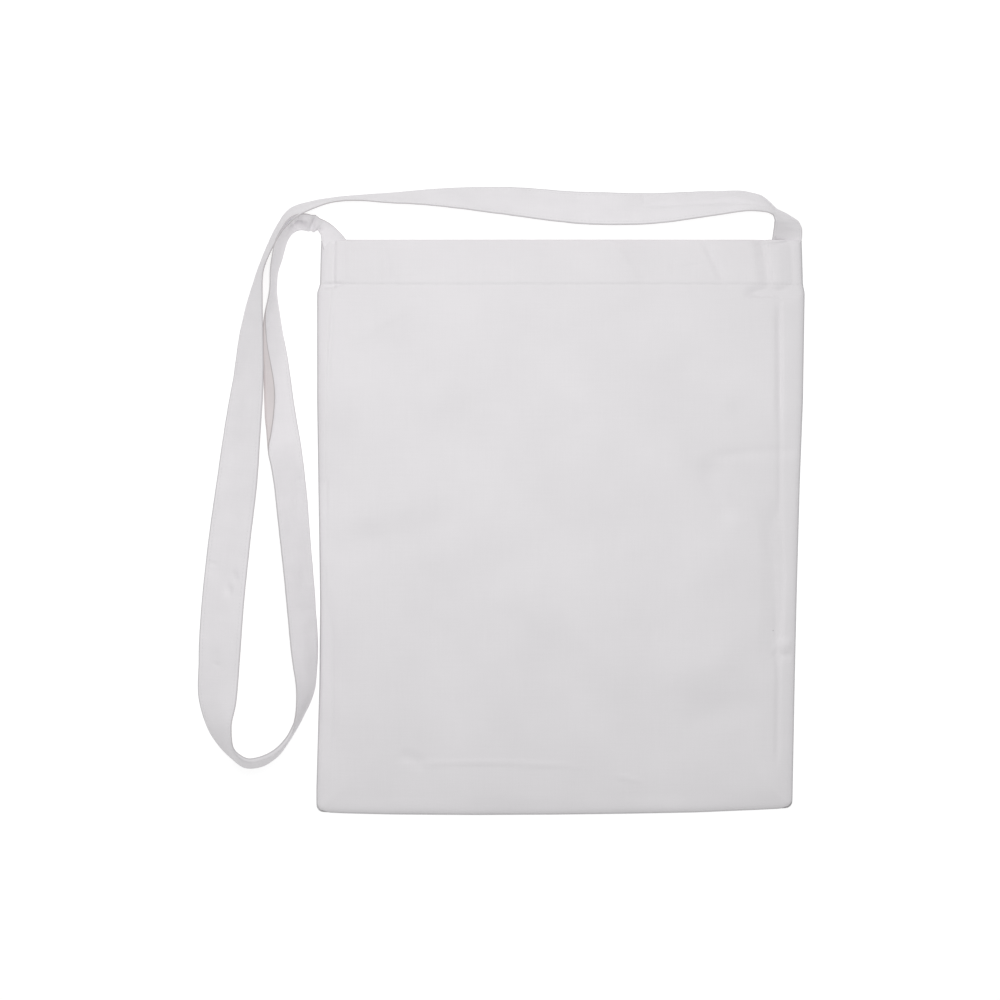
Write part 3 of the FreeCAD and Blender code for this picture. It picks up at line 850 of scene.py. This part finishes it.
def strap_stitches():
    frames = strap_frames()
    centres, directions, ups = [], [], []
    for lane in (-0.5 + 3 / 34, 0.5 - 3 / 34):
        line, normal = strap_points(frames, lane, STRAP_THICK / 2 + 0.02 * MM)
        line[:, 2] = np.maximum(line[:, 2], 0.15 * MM)
        reach = np.concatenate([[0], np.cumsum(np.linalg.norm(np.diff(line, axis=0), axis=1))])
        for place in np.arange(0.03, reach[-1] - 0.03, STITCH_PITCH):
            i = int(np.searchsorted(reach, place))
            t = (place - reach[i - 1]) / (reach[i] - reach[i - 1])
            along = line[i] - line[i - 1]
            centres.append(line[i - 1] * (1 - t) + line[i] * t)
            directions.append(along / np.linalg.norm(along))
            ups.append(normal[i])
    verts, faces = stitch_mesh(centres, directions, ups, STITCH_LENGTH, 0.18 * MM)
    piece = make_object("strap_stitching", verts, faces, None, THREAD)
    blend_strap(piece)
    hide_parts("strap_loop_stitching", "strap_top_stitching")


def stitched_line(points, z, length=STITCH_LENGTH, pitch=STITCH_PITCH):
    """Stitches along straight lines between points in plan, all at height z."""
    centres, directions = [], []
    for a, b in zip(points, points[1:]):
        run = np.array(b) - np.array(a)
        size = np.linalg.norm(run)
        for place in np.arange(pitch / 2, size, pitch):
            centres.append(np.array([*(np.array(a) + run * place / size), z]))
            directions.append(np.array([*(run / size), 0.0]))
    return centres, directions, [np.array([0.0, 0.0, 1.0])] * len(centres)


def tab_stitches():
    """The sewn square with a cross that holds each end of the strap inside the hem."""
    for side, node in (("left", "left_tab_stitching"), ("right", "right_tab_stitching")):
        low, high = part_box(node)
        corners = [(low.x, low.y), (high.x, low.y), (high.x, high.y), (low.x, high.y)]
        order = [corners[i] for i in (0, 1, 2, 3, 0, 2)] + [corners[1], corners[3]]
        verts, faces = stitch_mesh(*stitched_line(order, 3.7 * MM), STITCH_LENGTH, 0.2 * MM)
        piece = make_object(f"{side}_tab_stitches", verts, faces, None, THREAD)
        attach(piece, "bag")
        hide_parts(node)


def back_hem_stitches():
    xs = [(-0.184, STITCH_Y), (0.1855, STITCH_Y)]
    verts, faces = stitch_mesh(*stitched_line(xs, BACK_TOP + 0.75 * MM), STITCH_LENGTH, 0.2 * MM)
    piece = make_object("back_hem_stitches", verts, faces, None, THREAD)
    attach(piece, "bag")
    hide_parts("back_hem_stitching")


def allowance_paths():
    """The three seams as points along them and the direction into the bag at each."""
    ys = np.arange(-0.2165, HEM_Y, 3 * MM)
    xs = np.arange(-0.183, 0.1745, 3 * MM)
    into_right = np.tile([1.0, 0.0], (len(ys), 1))
    into_up = np.tile([0.0, 1.0], (len(xs), 1))
    return {
        "left_side": (np.stack([at(LEFT_EDGE, ys), ys], axis=1), into_right),
        "right_side": (np.stack([at(RIGHT_EDGE, ys), ys], axis=1), -into_right),
        "bottom": (np.stack([xs, bottom_at(xs)], axis=1), into_up),
    }


def allowances():
    """Seam allowances inside the bag, their overlocked raw edges and the rows that close the seams."""
    for name, (path, inward) in allowance_paths().items():
        rows = []
        for inset, z in ALLOWANCE_FORM:
            line = path + inward * inset * MM
            ripple = 0.12 * MM * waves(line[:, 0], line[:, 1], 31, 25 * MM) * smooth(inset / 9)
            rows.append(np.column_stack([line, np.full(len(line), z * MM) + ripple]))
        verts = np.vstack(rows)
        faces = grid_faces(len(rows), len(path), flip=name != "right_side")
        piece = shell(f"{name}_allowance", verts, faces, verts[:, :2] + [0.3, 0.9], BAG_CLOTH, 1.1 * MM)
        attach(piece, "bag")
        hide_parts(f"{name}_seam")
        last = rows[-1]
        ahead = np.gradient(last, axis=0)
        ahead /= np.linalg.norm(ahead, axis=1)[:, None]
        centres, directions = [], []
        for i in range(len(last) - 1):
            for half in (0, 1):
                slant = 1 if half else -1
                place = last[i] + (last[i + 1] - last[i]) * (0.25 + 0.5 * half)
                across = np.array([*inward[i], 0.0])
                direction = ahead[i] * 0.55 * slant + across
                centres.append(place - across * 1.1 * MM + np.array([0, 0, 0.12 * MM]))
                directions.append(direction / np.linalg.norm(direction))
        up = [np.array([0.0, 0.0, 1.0])] * len(centres)
        verts, faces = stitch_mesh(centres, directions, up, 2.8 * MM, 0.22 * MM)
        edging = make_object(f"{name}_overlock_threads", verts, faces, None, THREAD)
        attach(edging, "bag")
        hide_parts(f"{name}_overlock")
        row = [tuple(p) for p in path + inward * 2.6 * MM]
        verts, faces = stitch_mesh(*stitched_line(row, 2.55 * MM, pitch=2.9 * MM), STITCH_LENGTH, 0.2 * MM)
        seam = make_object(f"{name}_seam_stitches", verts, faces, None, THREAD)
        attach(seam, "bag")
        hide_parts(f"{name}_stitching")


# ---- camera, light and floor ----
PICTURE_WIDTH = 783 * MM    # what the picture takes in at the floor
PICTURE_OFFSET = (-1.2 * MM, 0.9 * MM)  # its middle, from the middle of the CAD model
LENS = 150.0
SENSOR = 36.0
FLOOR_REACH = 60
FLOOR_GREY = 0.28
FLOOR_GLOW = 0.83
SKY_STRENGTH = 0.50
KEY_PLACE = (-0.07, 0.28, 0.95)         # nearly overhead, a little towards the mouth and the left
KEY_SIZE = 0.4
KEY_POWER = 4.7


def stage():
    """The camera straight above the bag, a white floor, an even sky and one soft light."""
    low, high = cad_low, cad_high
    centre = Vector(((low.x + high.x) / 2 + PICTURE_OFFSET[0], (low.y + high.y) / 2 + PICTURE_OFFSET[1], 0))
    camera = bpy.data.objects.new("camera", bpy.data.cameras.new("camera"))
    camera.data.lens = LENS
    camera.data.sensor_width = SENSOR
    camera.location = centre + Vector((0, 0, PICTURE_WIDTH * LENS / SENSOR))
    camera.data.clip_end = 50
    bpy.context.scene.collection.objects.link(camera)
    bpy.context.scene.camera = camera

    r = FLOOR_REACH
    floor = make_object("floor", [(-r, -r, 0), (r, -r, 0), (r, r, 0), (-r, r, 0)], [(0, 1, 2, 3)])
    material = bpy.data.materials.new("floor")
    material.use_nodes = True
    shader = material.node_tree.nodes["Principled BSDF"]
    shader.inputs["Base Color"].default_value = (FLOOR_GREY, FLOOR_GREY, FLOOR_GREY, 1)
    shader.inputs["Roughness"].default_value = 0.9
    shader.inputs["Specular IOR Level"].default_value = 0.0
    shader.inputs["Emission Color"].default_value = (1, 1, 1, 1)
    shader.inputs["Emission Strength"].default_value = FLOOR_GLOW
    floor.data.materials.append(material)

    world = bpy.data.worlds.new("studio")
    bpy.context.scene.world = world
    world.use_nodes = True
    sky = world.node_tree.nodes["Background"]
    sky.inputs["Color"].default_value = (1, 1, 1, 1)
    sky.inputs["Strength"].default_value = SKY_STRENGTH

    key = bpy.data.objects.new("key", bpy.data.lights.new("key", "AREA"))
    key.data.size = KEY_SIZE
    key.data.energy = KEY_POWER
    key.location = centre + Vector(KEY_PLACE)
    key.rotation_euler = (centre - key.location).to_track_quat("-Z", "Y").to_euler()
    key.visible_camera = False
    bpy.context.scene.collection.objects.link(key)
    bpy.context.scene.view_settings.view_transform = "Standard"


stage()
back()
inner_hem("back", 0)
front()
strap()
front_hem_stitches()
back_hem_stitches()
strap_stitches()
tab_stitches()
allowances()
